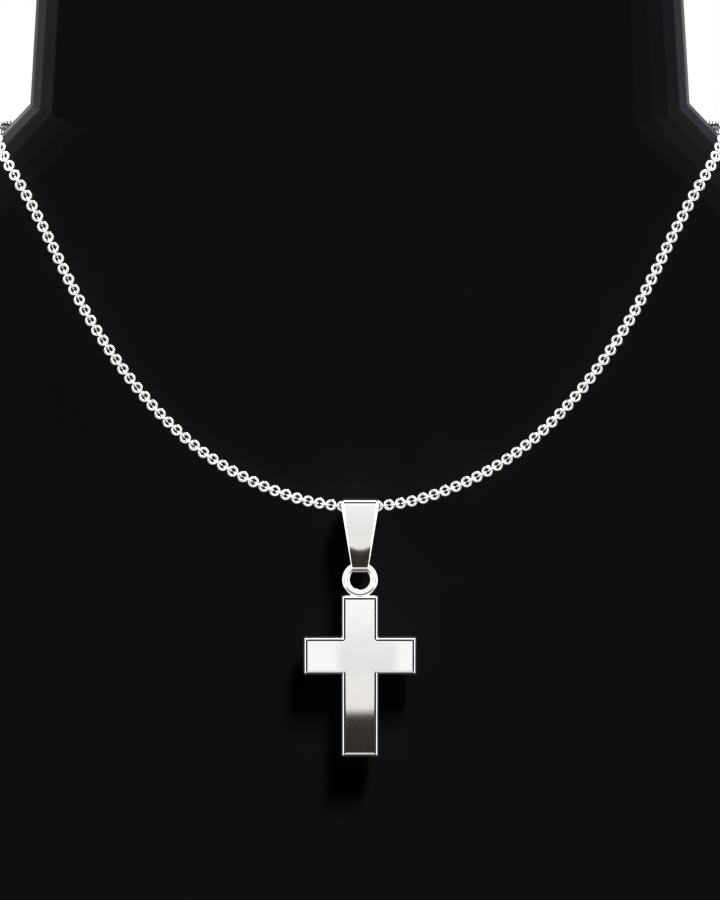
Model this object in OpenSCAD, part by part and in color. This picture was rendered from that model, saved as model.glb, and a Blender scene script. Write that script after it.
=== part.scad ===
/* [Bust] */
// Height of the display bust
bust_h = 190; // [180:1:220]
// Width of the bust's body
bust_w = 190; // [170:1:230]
// Front to back depth of the bust
bust_d = 60; // [50:1:80]
// Width of the neck where it meets the shoulders
neck_w = 113; // [105:0.5:120]
// Height of the corner between neck and shoulder
corner_h = 153.5; // [145:0.5:160]
// Angle of the shoulders below level
shoulder_slope = 46; // [35:1:50]
// How far each side of the neck leans in as it rises
neck_lean = 3.3; // [0:0.1:6]
// Radius of the bevelled edge all round
edge_r = 9; // [5:0.5:12]
// Flats that make up a quarter turn of the edge
edge_flats = 5; // [3:1:8]
// Angle by which each side draws in towards the back
side_draft = 6; // [0:0.5:8]

/* [Chain] */
// Outer diameter of a round link
link_d = 1.86; // [1.6:0.01:1.86]
// Thickness of a link's wire
link_wire = 0.38; // [0.3:0.01:0.38]
// Distance between the centres of neighbouring links
link_pitch = 0.985; // [0.98:0.005:1]
// Number of links modelled one by one, an odd number
link_count = 199; // [101:2:201]
// Diameter of the plain cord that stands for the hidden links
cord_d = 1.7; // [1.5:0.1:1.9]

/* [Clasp] */
// Outer diameter of the clasp's ring
clasp_d = 6; // [5:0.1:7]
// Thickness of the clasp's ring
clasp_wire = 1.3; // [1:0.1:1.5]
// Outer diameter of each small eye on the clasp
eye_d = 2.6; // [2.4:0.1:3]
// Thickness of an eye's wire
eye_wire = 0.6; // [0.5:0.05:0.7]

/* [Bail] */
// Width of the bail at its top
bail_top_w = 7.1; // [6:0.1:7.5]
// Width of the bail where it meets the ring
bail_low_w = 3.1; // [2.8:0.1:3.5]
// Width of the bail where it passes through the ring
bail_tip_w = 2.1; // [1.8:0.1:2.2]
// Thickness of the bail's strap
bail_t = 0.5; // [0.4:0.05:0.6]
// Inner radius of the bail's turn over the chain
bail_top_r = 1.15; // [1.1:0.01:1.3]
// Inner radius of the bail's turn under the ring
bail_low_r = 1.05; // [1:0.01:1.15]

/* [Cross] */
// Width of the cross
cross_w = 19.1; // [16:0.1:22]
// Height of the cross
cross_h = 27.4; // [24:0.1:30]
// Width of each bar
bar_w = 6.18; // [5:0.02:7]
// Height of the bar's upper edge below the top of the cross
arm_drop = 7.15; // [6:0.05:8]
// Thickness of the cross
cross_t = 2; // [1.6:0.1:2.4]
// Radius of the soft edge all round the cross
cross_edge_r = 0.45; // [0.3:0.05:0.6]
// Outer diameter of the ring soldered to the cross
ring_d = 6.2; // [5.8:0.1:6.4]
// Thickness of the ring's wire
ring_wire = 1.43; // [1.2:0.01:1.45]

/* [Hidden] */
$fn = 48;
eps = 0.01;

// The chest is the bust's flat front. Its place along Y centres the bust and necklace on the origin:
// the bail stands out in front of the chest, and the hidden chain behind the back.
pendant_gap = 2.6;
back_gap = 1.2;
front_reach = pendant_gap + bail_top_r + bail_t;
back_reach = back_gap + cord_d / 2;
chest_y = (front_reach - bust_d - back_reach) / 2;
pendant_y = chest_y - pendant_gap;

// The chain's lowest point carries the bail, and the ring's wire lies in the bail's lower turn. The
// middle of that turn is a little below the wire's, so the wire is clear of it all round.
chain_low_z = 85.6;
ring_z = 73.2;
ring_top_z = ring_z + (ring_d - ring_wire) / 2;
turn_drop = 0.16;
bail_low_z = ring_top_z - turn_drop;
ring_sink = 0.4;
cross_top_z = ring_z - ring_d / 2 + ring_sink;

// The route of one half of the chain, from the middle of the front to the nape. Each row has the
// distance from the middle, the depth behind the chest, the height, and the angle that the outer side
// of the chain has turned from facing forward, over the shoulder, to facing back.
ROUTE = [
    [0, -2.6, 85.6, 0],
    [5, -2.55, 85.9, 0],
    [10.7, -2.2, 87, 0],
    [18, -1.7, 89.7, 0],
    [25, -1.3, 93.6, 0],
    [31, -1.15, 98.4, 0],
    [36.5, -1.15, 104.2, 0],
    [41.3, -1.15, 110.5, 0],
    [45.6, -1.15, 117.2, 0],
    [49.3, -1.15, 124.2, 0],
    [52.7, -1.15, 131.3, 0],
    [55.7, -1.15, 137.2, 0],
    [57.9, -1.1, 141.1, 10],
    [59.9, 0.3, 144.5, 31],
    [61.3, 3.1, 147.6, 55],
    [61.8, 7.3, 149.6, 80],
    [61, 14, 149.9, 93],
    [59.4, 24, 149.9, 96],
    [58.1, 36, 149.5, 96],
    [57.7, 46, 148.4, 97],
    [57.7, 52.6, 147.4, 105],
    [57.4, 56.9, 145.2, 125],
    [56.2, 59.9, 141.7, 150],
    [54.4, 61.1, 138, 172],
    [50.4, 61.2, 131.3, 180],
    [43.5, 61.2, 123.2, 180],
    [33, 61.2, 112.3, 180],
    [18, 61.2, 103.2, 180],
    [0, 61.2, 99.4, 180]
];

// Columns of the route
AT_X = 0;
AT_DEPTH = 1;
AT_Z = 2;
AT_TURN = 3;

// Steps between two rows of the route when its length is measured, and the part of a row that is
// looked at on each side of a place for the chain's heading there
FINE = 12;
NEARBY = 0.02;

function route_row(i) =
    let (n = len(ROUTE) - 1, k = abs(i) > n ? 2 * n - abs(i) : abs(i), row = ROUTE[k])
    (i < 0) != (abs(i) > n) ? [-row[AT_X], row[AT_DEPTH], row[AT_Z], row[AT_TURN]] : row;

// A smooth curve through the rows: u counts rows from the middle of the front, and is negative on
// the wearer's other side.
function route_at(u) =
    let (
        i = floor(u),
        t = u - i,
        a = route_row(i - 1),
        b = route_row(i),
        c = route_row(i + 1),
        d = route_row(i + 2)
    )
    0.5 * (2 * b + (c - a) * t + (2 * a - 5 * b + 4 * c - d) * pow(t, 2)
        + (3 * b - a - 3 * c + d) * pow(t, 3));

function place_at(u) =
    let (row = route_at(u))
    [row[AT_X], chest_y + row[AT_DEPTH], row[AT_Z]];

half_rows = len(ROUTE) - 1;
fine_points = [for (i = [0 : half_rows * FINE]) place_at(i / FINE)];
fine_steps = [
    for (i = 0, s = 0; i <= half_rows * FINE; i = i + 1,
        s = i <= half_rows * FINE ? s + norm(fine_points[i] - fine_points[i - 1]) : s)
    [s, i / FINE]
];
half_length = fine_steps[half_rows * FINE][0];

// The row count that lies at a distance along the chain from the middle of the front
function row_at_length(s) = sign(s) * lookup(abs(s), fine_steps);

function unit(v) = v / norm(v);

function heading_at(u) = unit(place_at(u + NEARBY) - place_at(u - NEARBY));

// The outer side of the chain, square to its heading
function outer_at(u) =
    let (
        turn = route_at(u)[AT_TURN],
        side = sign(place_at(u)[0]),
        ridge = [side * sin(shoulder_slope), 0, cos(shoulder_slope)],
        out = sin(turn) * ridge - cos(turn) * [0, 1, 0],
        heading = heading_at(u)
    )
    unit(out - (out * heading) * heading);

// Places a child so that its X follows the chain and its Z points away from the bust
module on_route(u) {
    p = place_at(u);
    x = heading_at(u);
    z = outer_at(u);
    y = cross(z, x);
    multmatrix([
        [x[0], y[0], z[0], p[0]],
        [x[1], y[1], z[1], p[1]],
        [x[2], y[2], z[2], p[2]]
    ]) children();
}

module torus(outer_d, wire) {
    rotate_extrude() translate([(outer_d - wire) / 2, 0]) circle(d = wire);
}

// Where two straight edges of the bust meet in the front view. Each edge has the angle of its outward
// direction from level and its distance from the middle of the base.
function meet(a, b) =
    let (turn = b[0] - a[0])
    [(a[1] * sin(b[0]) - b[1] * sin(a[0])) / sin(turn), (b[1] * cos(a[0]) - a[1] * cos(b[0])) / sin(turn)];

// The right half of the bust's front view, from the base to the middle of the top, drawn in all round
function half_outline(draw_in) =
    let (
        corner = [neck_w / 2, corner_h],
        shoulder_out = 90 - shoulder_slope,
        side = [0, bust_w / 2 - draw_in],
        shoulder = [shoulder_out, corner * [cos(shoulder_out), sin(shoulder_out)] - draw_in],
        neck = [neck_lean, corner * [cos(neck_lean), sin(neck_lean)] - draw_in],
        top = [90, bust_h - draw_in]
    )
    [[side[1], 0], meet(side, shoulder), meet(shoulder, neck), meet(neck, top)];

module bust() {
    corners = 2 * len(half_outline(0));
    step = 90 / edge_flats;
    draft = (bust_d - 2 * edge_r) * tan(side_draft);
    // Each layer from front to back has the distance it is drawn in and its depth behind the chest
    layers = concat(
        [for (i = [0 : edge_flats]) [edge_r * (1 - sin(i * step)), edge_r * (1 - cos(i * step))]],
        [
            for (i = [edge_flats : -1 : 0])
                [draft + edge_r * (1 - sin(i * step)), bust_d - edge_r * (1 - cos(i * step))]
        ]
    );
    layer_points = [
        for (layer = layers)
            let (half = half_outline(layer[0]), last = len(half) - 1)
            each concat(
                [for (p = half) [p[0], chest_y + layer[1], p[1]]],
                [for (i = [last : -1 : 0]) [-half[i][0], chest_y + layer[1], half[i][1]]]
            )
    ];
    walls = [
        for (i = [0 : len(layers) - 2], k = [0 : corners - 1])
            let (n = (k + 1) % corners, front = i * corners, back = front + corners)
            [front + k, front + n, back + n, back + k]
    ];
    front_cap = [[for (k = [corners - 1 : -1 : 0]) k]];
    back_cap = [[for (k = [0 : corners - 1]) (len(layers) - 1) * corners + k]];
    color("#131316") polyhedron(layer_points, concat(front_cap, walls, back_cap), convexity = 10);
}

module chain_front() {
    color("#e6e6e6")
        for (i = [-last_link : last_link])
            on_route(row_at_length(i * link_pitch))
                rotate([i % 2 == 0 ? 90 : 0, 0, 0])
                    torus(link_d, link_wire);
}

// Where the cord starts behind the last link and ends before the clasp's eye
link_gap = 0.12;
last_link = (link_count - 1) / 2;
cord_start = last_link * link_pitch + link_d / 2 + link_gap;
cord_end = half_length - clasp_d / 2 - eye_d;

module chain_back() {
    sides = 8;
    rings = 36;
    reach = cord_end - cord_start;
    ring_points = [
        for (i = [0 : rings], k = [0 : sides - 1])
            let (
                u = row_at_length(cord_start + reach * i / rings),
                z = outer_at(u),
                y = cross(z, heading_at(u))
            )
            place_at(u) + cord_d / 2 * (cos(k * 360 / sides) * y + sin(k * 360 / sides) * z)
    ];
    walls = [
        for (i = [0 : rings - 1], k = [0 : sides - 1])
            let (n = (k + 1) % sides, low = i * sides, high = low + sides)
            [low + k, high + k, high + n, low + n]
    ];
    near_cap = [[for (k = [0 : sides - 1]) k]];
    far_cap = [[for (k = [sides - 1 : -1 : 0]) rings * sides + k]];
    color("#e6e6e6") {
        polyhedron(ring_points, concat(near_cap, walls, far_cap), convexity = 10);
        mirror([1, 0, 0]) polyhedron(ring_points, concat(near_cap, walls, far_cap), convexity = 10);
    }
}

module clasp() {
    nape = place_at(half_rows);
    color("#e6e6e6")
        translate(nape) rotate([90, 0, 0]) {
            torus(clasp_d, clasp_wire);
            for (side = [-1, 1])
                translate([side * (clasp_d + eye_d - eye_wire) / 2, 0, 0]) torus(eye_d, eye_wire);
        }
}

// The outline of the closed loop of strap seen from the side, a given distance outside its inner face,
// with X for depth and Y for height
module bail_side(extra) {
    top_r = bail_top_r + extra;
    low_r = bail_low_r + extra;
    tilt = asin((bail_top_r - bail_low_r) / (chain_low_z - bail_low_z));
    steps = 24;
    top_turn = [
        for (i = [0 : steps])
            let (a = -tilt + (180 + 2 * tilt) * i / steps)
            [top_r * cos(a), chain_low_z + top_r * sin(a)]
    ];
    low_turn = [
        for (i = [0 : steps])
            let (a = 180 + tilt + (180 - 2 * tilt) * i / steps)
            [low_r * cos(a), bail_low_z + low_r * sin(a)]
    ];
    polygon(concat(top_turn, low_turn));
}

module bail() {
    top_z = chain_low_z + bail_top_r + bail_t + eps;
    tip_z = bail_low_z - bail_low_r - bail_t - eps;
    side_step = 0.6;
    color("#ececec")
        translate([0, pendant_y, 0])
            intersection() {
                rotate([90, 0, 90]) linear_extrude(2 * bail_top_w, center = true) difference() {
                    bail_side(bail_t);
                    bail_side(0);
                }
                rotate([90, 0, 0]) linear_extrude(bail_top_w, center = true) polygon([
                    [-bail_top_w / 2, top_z],
                    [bail_top_w / 2, top_z],
                    [bail_low_w / 2, ring_top_z + side_step],
                    [bail_tip_w / 2, ring_top_z - side_step],
                    [bail_tip_w / 2, tip_z],
                    [-bail_tip_w / 2, tip_z],
                    [-bail_tip_w / 2, ring_top_z - side_step],
                    [-bail_low_w / 2, ring_top_z + side_step]
                ]);
            }
}

// A rectangle with round corners, centred
module soft_rectangle(size, r) {
    square([size[0] - 2 * r, size[1]], center = true);
    square([size[0], size[1] - 2 * r], center = true);
    for (x = [-1, 1], y = [-1, 1])
        translate([x * (size[0] / 2 - r), y * (size[1] / 2 - r)]) circle(r);
}

// A flat bar, standing in the XZ plane, with soft edges all round its front and back
module soft_bar(w, h) {
    intersection() {
        linear_extrude(h, center = true) soft_rectangle([w, cross_t], cross_edge_r);
        rotate([90, 0, 90]) linear_extrude(w, center = true) soft_rectangle([cross_t, h], cross_edge_r);
    }
}

module cross() {
    color("#ececec")
        translate([0, pendant_y, 0]) {
            translate([0, 0, cross_top_z - cross_h / 2]) soft_bar(bar_w, cross_h);
            translate([0, 0, cross_top_z - arm_drop - bar_w / 2]) soft_bar(cross_w, bar_w);
            translate([0, 0, ring_z]) rotate([90, 0, 0]) torus(ring_d, ring_wire);
        }
}

bust();
chain_front();
chain_back();
clasp();
bail();
cross();
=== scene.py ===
from math import cos, degrees, pi, radians, sin, tan

import bpy
import numpy as np
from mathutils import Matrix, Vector


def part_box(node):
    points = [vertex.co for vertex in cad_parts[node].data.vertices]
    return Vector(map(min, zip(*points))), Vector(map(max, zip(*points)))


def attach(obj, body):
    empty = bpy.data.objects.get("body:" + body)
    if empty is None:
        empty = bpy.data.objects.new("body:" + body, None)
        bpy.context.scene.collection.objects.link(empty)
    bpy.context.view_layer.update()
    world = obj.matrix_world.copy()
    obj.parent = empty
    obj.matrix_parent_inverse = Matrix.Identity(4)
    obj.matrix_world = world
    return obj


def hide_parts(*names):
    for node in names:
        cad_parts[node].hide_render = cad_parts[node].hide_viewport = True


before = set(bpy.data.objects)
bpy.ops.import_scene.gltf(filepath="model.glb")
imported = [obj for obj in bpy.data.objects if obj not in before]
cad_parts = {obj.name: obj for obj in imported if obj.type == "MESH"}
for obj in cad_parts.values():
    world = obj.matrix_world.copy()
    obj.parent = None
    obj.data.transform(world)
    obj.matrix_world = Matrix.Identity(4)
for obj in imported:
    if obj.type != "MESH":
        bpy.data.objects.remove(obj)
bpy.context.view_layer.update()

# Sizes are in millimetres, and each mesh is made in metres
MM = 0.001
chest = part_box("bust")[0].y / MM
pendant_gap = 2.6
pendant_y = chest - pendant_gap

# The chain over the shoulders follows their slope
shoulder_slope = radians(46)

# Camera
aim_height = 95
look_down = radians(5)
distance = 600
pixels_high = 900
focal_pixels = 3530
eye = bpy.data.cameras.new("camera")
eye.sensor_fit = "VERTICAL"
eye.sensor_height = 24
eye.lens = eye.sensor_height * focal_pixels / pixels_high
camera = bpy.data.objects.new("camera", eye)
step_back = distance * cos(look_down)
step_up = distance * sin(look_down)
camera.location = MM * Vector((0, chest - step_back, aim_height + step_up))
camera.rotation_euler = (pi / 2 - look_down, 0, 0)
bpy.context.scene.collection.objects.link(camera)
bpy.context.scene.camera = camera
bpy.context.scene.view_settings.view_transform = "Standard"


class Shade:
    """A socket of a node tree. Operators on it add Math nodes."""

    def __init__(self, tree, socket=None):
        self.tree = tree
        self.socket = socket

    def node(self, kind, settings=None, sockets=None, out=0):
        """A new node, as the Shade of one of its outputs."""
        made = self.tree.nodes.new(kind)
        for name, value in (settings or {}).items():
            setattr(made, name, value)
        for name, value in (sockets or {}).items():
            if isinstance(value, Shade):
                self.tree.links.new(value.socket, made.inputs[name])
            else:
                made.inputs[name].default_value = value
        return Shade(self.tree, made.outputs[out] if made.outputs else None)

    def output(self, name):
        """Another output of the same node."""
        return Shade(self.tree, self.socket.node.outputs[name])

    def math(self, operation, first, second=0.0):
        return self.node("ShaderNodeMath", {"operation": operation}, {0: first, 1: second})

    def __add__(self, other):
        return self.math("ADD", self, other)

    def __radd__(self, other):
        return self.math("ADD", other, self)

    def __sub__(self, other):
        return self.math("SUBTRACT", self, other)

    def __rsub__(self, other):
        return self.math("SUBTRACT", other, self)

    def __mul__(self, other):
        return self.math("MULTIPLY", self, other)

    def __rmul__(self, other):
        return self.math("MULTIPLY", other, self)

    def __abs__(self):
        return self.math("ABSOLUTE", self)

    def rise(self, low, high):
        """0 below low and 1 above high, with a soft step between them."""
        settings = {"interpolation_type": "SMOOTHSTEP"}
        return self.node("ShaderNodeMapRange", settings, {0: self, 1: low, 2: high, 3: 0.0, 4: 1.0})

    def fall(self, low, high):
        """1 below low and 0 above high."""
        return 1 - self.rise(low, high)

    def band(self, low, first, last, high):
        """1 from first to last, and 0 below low and above high."""
        return self.rise(low, first) * self.fall(last, high)

    def blend(self, first, second):
        """The first colour where this is 0, and the second where it is 1."""
        sockets = {0: self, 6: first, 7: second}
        return self.node("ShaderNodeMix", {"data_type": "RGBA"}, sockets, out=2)


# Surroundings: what the metal mirrors, by degrees aside from the camera and above level
def tent_and_floor(off_middle, above):
    """A white tent that reaches lower at both sides, on a floor that is pale far off and dark near by."""
    sides = off_middle.rise(34, 38)
    tent_foot = (1 - sides) * above.rise(-16, -14.5) + sides * above.rise(-34, -30)
    floor = above.rise(-66, -22).blend((0.06, 0.056, 0.05, 1), (0.9, 0.89, 0.87, 1))
    return tent_foot.blend(floor, (1.4, 1.4, 1.43, 1))


def dark_strips(off_middle, above):
    """Where the tent is dark: at both sides of the card, over it, and behind the metal at both sides."""
    beside = off_middle.band(10, 12, 46, 50) * above.band(-16, -15, -4, -1)
    over = off_middle.fall(6, 9) * above.band(6, 8, 44, 50)
    behind = off_middle.band(104, 108, 158, 164) * above.band(-15, -13, -5, -2)
    return beside + over + behind


def card_behind_camera(aside, off_middle, above):
    """A bright card with a dark foot. Low in its middle it is dimmer, with a grey patch and a warm line."""
    patch = aside.band(-0.40, -0.33, 0.56, 0.63) * above.fall(-8.5, -7.4)
    warm = above.fall(-8.75, -8.55)
    middle = off_middle.fall(1.3, 2.6) * above.fall(-6.8, -5.5)
    colour = patch.blend((0.97, 0.97, 0.97, 1), (0.79, 0.79, 0.8, 1))
    colour = warm.blend(colour, (0.845, 0.825, 0.79, 1))
    colour = middle.blend((1.25, 1.25, 1.25, 1), colour)
    return above.rise(-9.31, -9.19).blend((0.031, 0.026, 0.022, 1), colour)


def light_the_surroundings():
    """Only the metal's mirror sees the tent. The camera sees white, and all else a faint light."""
    world = bpy.data.worlds.new("tent")
    bpy.context.scene.world = world
    world.use_nodes = True
    world.node_tree.nodes.clear()
    shade = Shade(world.node_tree)
    direction = shade.node("ShaderNodeTexCoord", out="Generated")
    x = shade.node("ShaderNodeSeparateXYZ", {}, {"Vector": direction}, out="X")
    to_degrees = degrees(1)
    aside = to_degrees * shade.math("ARCTAN2", x, 0 - x.output("Y"))
    above = to_degrees * shade.math("ARCSINE", x.output("Z"))
    off_middle = abs(aside)

    strips = dark_strips(off_middle, above)
    mirrored = strips.blend(tent_and_floor(off_middle, above), (0.02, 0.019, 0.018, 1))
    card = off_middle.fall(10, 12) * above.fall(6, 8) * above.rise(-16, -14.5)
    mirrored = card.blend(mirrored, card_behind_camera(aside, off_middle, above))

    seen = shade.node("ShaderNodeLightPath", out="Is Camera Ray")
    colour = seen.output("Is Glossy Ray").blend((0.03, 0.03, 0.033, 1), mirrored)
    colour = seen.blend(colour, (1, 1, 1, 1))
    light = shade.node("ShaderNodeBackground", {}, {"Color": colour, "Strength": 1.0})
    shade.node("ShaderNodeOutputWorld", {}, {"Surface": light})


def light_from(name, toward, energy, spread, colour=(1, 1, 1), mirrored=False):
    """A soft, far lamp that stands in the given direction from the bust."""
    lamp = bpy.data.lights.new(name, "SUN")
    lamp.energy = energy
    lamp.angle = radians(spread)
    lamp.color = colour
    light = bpy.data.objects.new(name, lamp)
    light.rotation_euler = Vector(toward).to_track_quat("Z", "Y").to_euler()
    light.visible_glossy = mirrored
    bpy.context.scene.collection.objects.link(light)


def light_the_bust():
    light_from("key", (0.87, -1.0, 2.6), energy=3.9, spread=12, mirrored=True)
    light_from("left_rim", (-0.875, 0.485, 0), energy=11, spread=20, colour=(0.97, 0.96, 1.0))
    light_from("right_rim", (0.82, 0.575, 0), energy=4.5, spread=20, colour=(0.72, 0.78, 1.0))


# Finishes
def new_finish(name):
    material = bpy.data.materials.new(name)
    material.use_nodes = True
    return material


def lay_on(material, **looks):
    """Sets a finish's sockets by name: a value stays on the socket, and a Shade is linked to it."""
    tree = material.node_tree
    for name, value in looks.items():
        socket = tree.nodes["Principled BSDF"].inputs[name.replace("_", " ")]
        if isinstance(value, Shade):
            tree.links.new(value.socket, socket)
        else:
            socket.default_value = value


def black_satin():
    """The bust's black skin: a close, dull grain with a little cloudiness."""
    material = new_finish("black_satin")
    shade = Shade(material.node_tree)
    place = shade.node("ShaderNodeTexCoord", out="Object")
    cloud = shade.node("ShaderNodeTexNoise", {}, {"Vector": place, "Scale": 45.0, "Detail": 3.0})
    grain = shade.node("ShaderNodeTexNoise", {}, {"Vector": place, "Scale": 2600.0, "Detail": 2.0})
    tone = (cloud * 0.7 + grain * 0.3).rise(0.3, 0.7)
    relief = {"Height": grain, "Strength": 0.12, "Distance": 0.00004}
    lay_on(
        material,
        Base_Color=tone.blend((0.0090, 0.0090, 0.0104, 1), (0.0108, 0.0108, 0.0124, 1)),
        Roughness=0.40 + 0.08 * grain,
        Specular_IOR_Level=0.005,
        Sheen_Weight=0.5,
        Sheen_Roughness=0.3,
        Normal=shade.node("ShaderNodeBump", {}, relief),
    )
    return material


def polished_white_metal(name, rough, wear):
    """Polished white metal with hair-fine scratches and faint hazy patches from wear."""
    material = new_finish(name)
    shade = Shade(material.node_tree)
    place = shade.node("ShaderNodeTexCoord", out="Object")
    cloud = shade.node("ShaderNodeTexNoise", {}, {"Vector": place, "Scale": 350.0, "Detail": 4.0})
    stretched = shade.node("ShaderNodeMapping", {}, {"Vector": place, "Scale": (900, 900, 14000)})
    lines = shade.node("ShaderNodeTexNoise", {}, {"Vector": stretched, "Scale": 1.0, "Detail": 3.0})
    scratch = lines.rise(0.62, 0.72)
    worn = 0.6 * cloud.rise(0.45, 0.75) + 0.4 * scratch
    relief = {"Height": scratch, "Strength": 0.02, "Distance": 0.000001}
    lay_on(
        material,
        Base_Color=worn.blend((0.965, 0.962, 0.955, 1), (0.925, 0.925, 0.92, 1)),
        Metallic=1.0,
        Roughness=rough + wear * worn,
        Normal=shade.node("ShaderNodeBump", {}, relief),
    )
    return material


def pale_floor():
    material = new_finish("pale_floor")
    lay_on(material, Base_Color=(0.78, 0.78, 0.77, 1), Roughness=0.7, Specular_IOR_Level=0.2)
    return material


def glowing_reflection_card():
    """A card that glows dimly by itself and takes no light: a painted reflection, which the metal's edges
    mirror as a dim brown line.
    """
    material = new_finish("glowing_reflection_card")
    lay_on(
        material,
        Base_Color=(0, 0, 0, 1),
        Specular_IOR_Level=0.0,
        # Painted reflection: this dim brown glow is what the metal's edges mirror
        Emission_Color=(0.026, 0.024, 0.021, 1),
        Emission_Strength=1.0,
    )
    return material


# Meshes
def new_piece(name, points, faces, finish, smooth=True):
    mesh = bpy.data.meshes.new(name)
    mesh.from_pydata([tuple(MM * value for value in point) for point in points], [], faces)
    mesh.materials.append(finish)
    if smooth:
        mesh.shade_smooth()
    mesh.update()
    piece = bpy.data.objects.new(name, mesh)
    bpy.context.scene.collection.objects.link(piece)
    return piece


def soften(piece, width, segments):
    """Takes the sharpness off a piece's edges."""
    edge = piece.modifiers.new("edge", "BEVEL")
    edge.width = width * MM
    edge.segments = segments
    edge.limit_method = "ANGLE"
    edge.angle_limit = radians(10)


def settle(piece):
    """Turns a piece's modifiers into its plain mesh."""
    shown = piece.evaluated_get(bpy.context.evaluated_depsgraph_get())
    mesh = bpy.data.meshes.new_from_object(shown)
    piece.modifiers.clear()
    piece.data = mesh


def fuse(piece, others):
    """Joins other pieces to one as a single solid, with a crisp line where they meet."""
    for other in others:
        settle(piece)
        join = piece.modifiers.new("join", "BOOLEAN")
        join.operation = "UNION"
        join.solver = "EXACT"
        join.object = other
        settle(piece)
        bpy.data.objects.remove(other)
    piece.data.shade_smooth()
    piece.data.set_sharp_from_angle(angle=radians(9.5))


def walls(layers, count, closed=False):
    """Faces between layers of count points each. Where closed, the last layer joins the first."""
    faces = []
    for i in range(layers if closed else layers - 1):
        here, there = i * count, (i + 1) % layers * count
        for k in range(count):
            after = (k + 1) % count
            faces.append((here + k, there + k, there + after, here + after))
    return faces


def both_sides(half):
    """A closed outline from its right half."""
    return half + [(-x, z) for x, z in reversed(half)]


def layered_piece(name, front_y, layers, outline, finish, smooth=True):
    """A solid from front to back. Each layer is how far its outline is drawn in, and how deep it lies."""
    points = [(x, front_y + depth, z) for inset, depth in layers for x, z in outline(inset)]
    count = len(points) // len(layers)
    faces = [tuple(range(count))] + walls(len(layers), count)
    faces.append(tuple(len(points) - 1 - k for k in range(count)))
    return new_piece(name, points, faces, finish, smooth)


def round_section(across, power=1.0):
    """A wire's section as places from -1 to 1, outwards and up. A power below 1 makes it squarer."""
    turn = np.linspace(0, 2 * pi, across, endpoint=False)
    places = np.stack([np.cos(turn), np.sin(turn)], 1)
    return np.sign(places) * np.abs(places)**power


def edged_section():
    """A wire's section with faint flats: how far each step of a quarter leans back, and how wide it is."""
    steps = ((3, 0.33), (14, 0.11), (33, 0.26), (42, 0.14), (63, 0.11), (78, 0.045))
    out, up = 0, 1
    quarter_turn = [(out, up)]
    for lean, run in steps:
        out, up = out + run, up - run * tan(radians(lean))
        quarter_turn.append((out, up))
    half = [(x, -y) for x, y in quarter_turn] + [(1, 0)] + quarter_turn[::-1]
    return np.array(half + [(-x, y) for x, y in reversed(half[1:-1])])


def torus(outer, wire, around, section, thick=None):
    """Points and faces of a ring in the XY plane. thick is the wire's size along Z."""
    thick = thick or wire
    turns = np.linspace(0, 2 * pi, around, endpoint=False)
    turn, out = (grid.ravel() for grid in np.meshgrid(turns, section[:, 0], indexing="ij"))
    reach = (outer - wire) / 2 + wire / 2 * out
    height = thick / 2 * np.tile(section[:, 1], around)
    points = np.stack([reach * np.cos(turn), reach * np.sin(turn), height], 1)
    return points, walls(around, len(section), closed=True)


def ring_standing(outer, wire, place, around, section):
    """A ring that stands facing forward."""
    points, faces = torus(outer, wire, around, section)
    return points[:, [0, 2, 1]] * (1, -1, 1) + place, faces


def gather(parts):
    """Makes one list of points and one of faces from several."""
    all_points = np.concatenate([points for points, faces in parts])
    all_faces = []
    start = 0
    for points, faces in parts:
        all_faces += [tuple(start + i for i in face) for face in faces]
        start += len(points)
    return all_points, all_faces


# The bust: a board with faceted edges
def make_bust():
    """Makes the bust and returns the outline of its flat face."""
    width, height, deep = 190, 190, 60
    edge_r, flats, last_turn = 10, 5, radians(84)
    draft = radians(6)
    lean = radians(3.8)
    corner = Vector((56.4, 153.7))

    def meet(one, other):
        """Where two sides meet. Each is the turn of its way out and its distance from the middle."""
        (turn, far), (other_turn, other_far) = one, other
        between = sin(other_turn - turn)
        x = (far * sin(other_turn) - other_far * sin(turn)) / between
        z = (other_far * cos(turn) - far * cos(other_turn)) / between
        return x, z

    def through_corner(turn, inset):
        return turn, corner.dot(Vector((cos(turn), sin(turn)))) - inset

    def outline(inset):
        side = (0, width / 2 - inset)
        shoulder = through_corner(pi / 2 - shoulder_slope, inset)
        neck = through_corner(lean, inset)
        top = (pi / 2, height - inset)
        return both_sides([(side[1], 0), meet(side, shoulder), meet(shoulder, neck), meet(neck, top)])

    edge = []
    for i in range(flats + 1):
        turn = last_turn * i / flats
        edge.append((edge_r * (sin(last_turn) - sin(turn)), edge_r * (1 - cos(turn))))
    drawn_in = (deep - 2 * edge[-1][1]) * tan(draft)
    layers = edge + [(drawn_in + inset, deep - depth) for inset, depth in reversed(edge)]
    bust = layered_piece("bust_board", chest, layers, outline, black_satin(), smooth=False)
    soften(bust, width=0.2, segments=2)
    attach(bust, "root")
    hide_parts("bust")
    return outline(edge[0][0])


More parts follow.
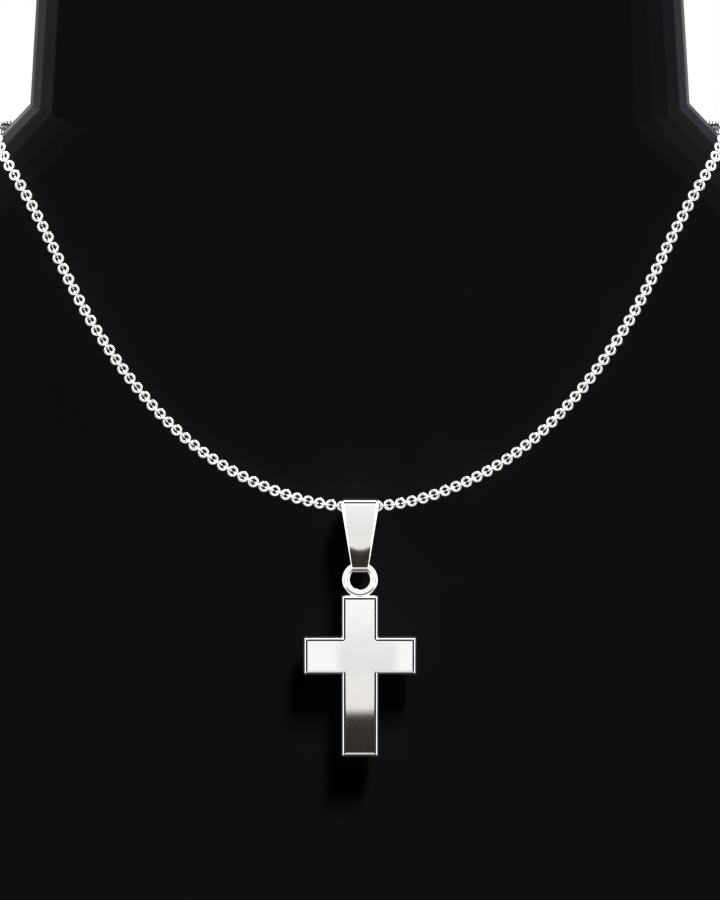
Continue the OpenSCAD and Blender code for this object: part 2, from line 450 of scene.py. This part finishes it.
# The chain's route from the middle of the front to the nape, for one half
ROUTE = np.array([
    # Distance from the middle, depth behind the chest, height, and its outer side's turn in degrees
    (0, -2.6, 85.6, 0),
    (5, -2.55, 85.9, 0),
    (10.7, -2.2, 87, 0),
    (18, -1.7, 89.7, 0),
    (25, -1.3, 93.6, 0),
    (31, -1.15, 98.4, 0),
    (36.5, -1.15, 104.2, 0),
    (41.3, -1.15, 110.5, 0),
    (45.6, -1.15, 117.2, 0),
    (49.3, -1.15, 124.2, 0),
    (52.7, -1.15, 131.3, 0),
    (55.7, -1.15, 137.2, 0),
    (57.9, -1.1, 141.1, 10),
    (59.9, 0.3, 144.5, 31),
    (61.3, 3.1, 147.6, 55),
    (61.8, 7.3, 149.6, 80),
    (61, 14, 149.9, 93),
    (59.4, 24, 149.9, 96),
    (58.1, 36, 149.5, 96),
    (57.7, 46, 148.4, 97),
    (57.7, 52.6, 147.4, 105),
    (57.4, 56.9, 145.2, 125),
    (56.2, 59.9, 141.7, 150),
    (54.4, 61.05, 138, 172),
    (50.4, 61.1, 131.3, 180),
    (43.5, 61.1, 123.2, 180),
    (33, 61.1, 112.3, 180),
    (18, 61.1, 103.2, 180),
    (0, 61.1, 99.4, 180),
])
rows = len(ROUTE) - 1


def route_row(i):
    """A row of the route. Rows before the first and after the last lie on the other half."""
    k = abs(i)
    if k > rows:
        k = 2 * rows - k
    x, depth, z, turn = ROUTE[k]
    if (i < 0) != (abs(i) > rows):
        x = -x
    return np.array((x, depth, z, turn))


def route_at(row):
    """A smooth curve through the rows. row counts them from the middle of the front, in parts too."""
    i = int(np.floor(row))
    t = row - i
    a, b, c, d = (route_row(i + k) for k in (-1, 0, 1, 2))
    square = (2 * a - 5 * b + 4 * c - d) * t**2
    cube = (3 * b - a - 3 * c + d) * t**3
    return 0.5 * (2 * b + (c - a) * t + square + cube)


def place_at(row):
    x, depth, z = route_at(row)[:3]
    return np.array((x, chest + depth, z))


# Close places along the route, and the chain's length up to each
fine_steps = 24
fine_rows = np.arange(rows * fine_steps + 1) / fine_steps
fine_places = np.array([place_at(row) for row in fine_rows])
fine_lengths = np.concatenate([[0], np.cumsum(np.linalg.norm(np.diff(fine_places, axis=0), axis=1))])
half_length = fine_lengths[-1]


def row_at_length(length):
    return np.sign(length) * np.interp(abs(length), fine_lengths, fine_rows)


def unit(v):
    return v / np.linalg.norm(v)


def frame_at(row):
    """Where the chain is, with its heading, the side, and the way out from the bust, as columns."""
    nearby = 0.02
    place = place_at(row)
    heading = unit(place_at(row + nearby) - place_at(row - nearby))
    turn = radians(route_at(row)[3])
    ridge = np.array((np.sign(place[0]) * sin(shoulder_slope), 0, cos(shoulder_slope)))
    out = sin(turn) * ridge - cos(turn) * np.array((0, 1, 0))
    out = unit(out - out.dot(heading) * heading)
    return place, np.stack([heading, np.cross(out, heading), out], 1)


# The links, of flattened wire
link_outer = 1.94
link_wire = 0.47
link_thick = 0.38
link_squareness = 0.6
link_pitch = 0.985
front_links = 99


def link_on_route(length, turned, around, across):
    """A link at that length of the chain, turned about its heading. It has around times across points."""
    section = round_section(across, link_squareness)
    points, faces = torus(link_outer, link_wire, around, section, link_thick)
    place, axes = frame_at(row_at_length(length))
    roll = np.array(((1, 0, 0), (0, cos(turned), -sin(turned)), (0, sin(turned), cos(turned))))
    return points @ (axes @ roll).T + place, faces


def quarter(i):
    """Every other link is turned a quarter."""
    return pi / 2 if i % 2 == 0 else 0


def make_front_chain(finish):
    links = []
    for i in range(-front_links, front_links + 1):
        links.append(link_on_route(i * link_pitch, quarter(i), around=30, across=16))
    front = new_piece("chain_links_front", *gather(links), finish)
    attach(front, "root")
    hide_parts("chain_front")
    front.visible_shadow = False


def make_back_chain(finish):
    """Behind the shoulders the links lie at a slant, half over each way, as in a loose round-link chain."""
    start = front_links * link_pitch
    clasp_reach = 5.34
    count = 2 * round((half_length - clasp_reach - start) / link_pitch / 2) + 1
    pitch = (half_length - clasp_reach - start) / count
    easing = 16
    links = []
    for side in (-1, 1):
        for i in range(1, count + 1):
            slant = min(1, i / easing, (count - i) / easing) * pi / 4
            turned = quarter(front_links + i) - slant
            links.append(link_on_route(side * (start + i * pitch), turned, around=22, across=12))
    back = new_piece("chain_links_back", *gather(links), finish)
    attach(back, "root")
    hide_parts("chain_back")
    back.visible_shadow = False


# The clasp: a ring at the nape with a small eye on each side
def make_clasp(finish):
    outer, wire = 6, 1.3
    eye_outer, eye_wire = 2.6, 0.48
    eye_aside, eye_up = 4.03, 0.22
    around = 80
    section = round_section(40)
    nape = place_at(rows)
    clasp = new_piece("clasp_ring", *ring_standing(outer, wire, nape, around, section), finish)
    eyes = []
    for side in (-1, 1):
        place = nape + (side * eye_aside, 0, eye_up)
        ring = ring_standing(eye_outer, eye_wire, place, around, section)
        eyes.append(new_piece("clasp_eye", *ring, finish))
    fuse(clasp, eyes)
    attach(clasp, "root")
    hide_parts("clasp")


# The cross: a flat plate with soft edges, and a ring soldered on top
cross_top = 70.55
cross_tall, cross_wide, cross_thick = 27.75, 19.3, 2
upright_width, arm_width = 6.4, 6.56
arm_drop = 7.1


def cross_outline(inset):
    """The plate's outline with faintly rounded corners, drawn in by inset."""
    side, tip = upright_width / 2, cross_wide / 2
    high, foot = cross_top - arm_drop, cross_top - cross_tall
    low = high - arm_width
    outer_r, inner_r, least_r = 0.16, 0.1, 0.012
    corner_steps = 6

    # Corners of the right half from the foot up, with the way out of the metal at each, along X and Z
    right = [(side, foot, 1, -1), (side, low, 1, -1), (tip, low, 1, -1)]
    right += [(tip, high, 1, 1), (side, high, 1, 1), (side, cross_top, 1, 1)]
    inner_corners = (1, 4)
    half = []
    for i, (x, z, out_x, out_z) in enumerate(right):
        start = 0 if out_z > 0 else -90
        if i in inner_corners:
            r = inner_r
            centre = (x + (r - inset) * out_x, z + (r - inset) * out_z)
            turns = (start + 270, start + 180)
        else:
            r = max(outer_r - inset, least_r)
            centre = (x - (r + inset) * out_x, z - (r + inset) * out_z)
            turns = (start, start + 90)
        for turn in np.radians(np.linspace(*turns, corner_steps)):
            half.append((centre[0] + r * cos(turn), centre[1] + r * sin(turn)))
    return both_sides(half)


def cross_layers():
    """The plate's layers from front to back: a flat face, a soft edge, the side, and the same behind."""
    face_rim, side_depth = 0.02, 0.03

    # The edge's steps from the face outwards: how far each leans back, and how wide it is
    steps = ((3, 0.02), (8, 0.07), (13, 0.09), (18, 0.09), (22, 0.07), (28, 0.04), (36, 0.05), (43, 0.04))
    steps += ((50, 0.11), (58, 0.10), (68, 0.06), (78, 0.03), (86, 0.006))
    face_inset = sum(run for lean, run in steps)
    layers = [(face_inset + face_rim, 0), (face_inset, 0)]
    for lean, run in steps:
        layers.append((layers[-1][0] - run, layers[-1][1] + run * tan(radians(lean))))
    layers.append((0, layers[-1][1] + side_depth))
    return layers + [(inset, cross_thick - depth) for inset, depth in reversed(layers)]


def make_cross(finish):
    outer, wire, around = 6.2, 1.43, 96
    ring_middle = (0, pendant_y, 73.2)
    front_y = pendant_y - cross_thick / 2
    cross = layered_piece("cross_plate", front_y, cross_layers(), cross_outline, finish)
    ring = ring_standing(outer, wire, ring_middle, around, edged_section())
    fuse(cross, [new_piece("cross_ring", *ring, finish)])
    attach(cross, "pendant")
    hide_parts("cross")


# The bail: a tapered strap, folded over the chain and under the cross's ring
def bail_path():
    """The strap's outer side as places and ways out along Y and Z. Y counts from the pendant's middle."""
    low_z, fold_z, crown_z = 75.43, 86.2, 87.0
    front_y, fold_r, back_r, low_drop = -1.65, 0.8, 1.4, 1.15
    lean, bend, bend_z = 0.0174, 0.00085, 81.6
    face_steps, turn_steps, back_steps, low_steps = 46, 14, 22, 28

    def face_y(z):
        return front_y + lean * (fold_z - z) + bend * max(0, bend_z - z)**2

    def face_slope(z):
        return lean + 2 * bend * max(0, bend_z - z)

    # Up the face
    path = []
    for z in np.linspace(low_z, fold_z, face_steps):
        path.append((face_y(z), z, -1, -face_slope(z)))

    # Over the chain, with a closer turn in front than behind
    for turn in np.radians(np.linspace(6, 90, turn_steps)):
        y, z = front_y + fold_r * (1 - cos(turn)), fold_z + fold_r * sin(turn)
        path.append((y, z, -cos(turn), sin(turn)))
    for turn in np.radians(np.linspace(86, 2, turn_steps)):
        y, z = -front_y - back_r * (1 - cos(turn)), crown_z - back_r * (1 - sin(turn))
        path.append((y, z, cos(turn), sin(turn)))

    # Down the back, which comes forward by taper from back_z to low_z
    low_y, back_z = -face_y(low_z), crown_z - back_r
    drop, taper = back_z - low_z, low_y + front_y
    for z in np.linspace(back_z - 0.2, low_z, back_steps):
        path.append((-front_y + taper * ((back_z - z) / drop), z, 1, taper / drop))

    # Round under the ring
    for turn in np.radians(np.linspace(-6, -174, low_steps)):
        y, z = low_y * cos(turn), low_z + low_drop * sin(turn)
        path.append((y, z, cos(turn) / low_y, sin(turn) / low_drop))
    return path


def bail_section(y, z, out_y, out_z):
    """Points across the strap: a nearly flat face, slanted edges, sides and a flat back."""
    # Half the strap's width by height, widest over the chain and drawn in where it passes the ring
    heights = (70, 74.28, 74.43, 74.62, 74.86, 75, 75.13, 75.6, 76.28, 86.2, 90)
    half_widths = (0.97, 0.97, 1.02, 1.08, 1.18, 1.26, 1.35, 1.42, 1.58, 3.22, 3.22)
    half_wide = np.interp(z, heights, half_widths)

    # The slanted edge's width and the strap's thickness, which also shrink toward the foot
    edge = np.interp(z, (75.4, 86.4), (0.08, 0.48))
    thick = np.interp(z, (75.5, 77), (0.2, 0.3))
    edge_tilt = radians(28)
    half = [(part * (half_wide - edge), 0) for part in (0, 0.3, 0.6, 0.85, 1)]
    half += [(half_wide, edge * tan(edge_tilt)), (half_wide, thick)]
    half += [(part * half_wide, thick) for part in (0.6, 0.2)]

    # Low down, the face curls back toward both edges
    curl, curl_z = 0.00009, 81.5
    low_face = max(0, curl_z - z)**2 if out_y < 0 else 0
    out = unit(np.array((out_y, out_z)))
    section = []
    for x, depth in [(-x, depth) for x, depth in half] + list(reversed(half[1:])):
        back, up = np.array((y, z)) - depth * out
        section.append((x, pendant_y + back + curl * x**2 * low_face, up))
    return section


def make_bail(finish):
    sections = [bail_section(*row) for row in bail_path()]
    points = [p for section in sections for p in section]
    faces = walls(len(sections), len(sections[0]), closed=True)
    bail = new_piece("bail_strap", points, faces, finish)
    bail.data.set_sharp_from_angle(angle=radians(12))
    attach(bail, "bail")
    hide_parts("bail")


# What stands round the bust
def make_floor():
    reach, level = 3000, -0.2
    corners = ((-reach, -reach), (reach, -reach), (reach, reach), (-reach, reach))
    floor = new_piece("floor", [(x, y, level) for x, y in corners], [(0, 1, 2, 3)], pale_floor())
    floor.visible_glossy = False
    floor.visible_diffuse = False


def make_glowing_reflection_card(flat_face):
    """A glowing card just before the chest that only mirrors see: a painted reflection, a dim brown line
    round the metal's edges.
    """
    gap = 0.03
    points = [(x, chest - gap, z) for x, z in flat_face]
    # The card glows to paint a reflection into the metal, and the camera never sees it
    card = new_piece("card", points, [tuple(range(len(points)))], glowing_reflection_card())
    card.visible_camera = False
    card.visible_diffuse = False
    card.visible_shadow = False


light_the_surroundings()
light_the_bust()
make_floor()
make_glowing_reflection_card(make_bust())
pendant_finish = polished_white_metal("polished_pendant", rough=0.02, wear=0.012)
chain_finish = polished_white_metal("polished_chain", rough=0.08, wear=0.06)
make_front_chain(chain_finish)
make_back_chain(chain_finish)
make_clasp(polished_white_metal("polished_clasp", rough=0.06, wear=0.06))
make_cross(pendant_finish)
make_bail(pendant_finish)
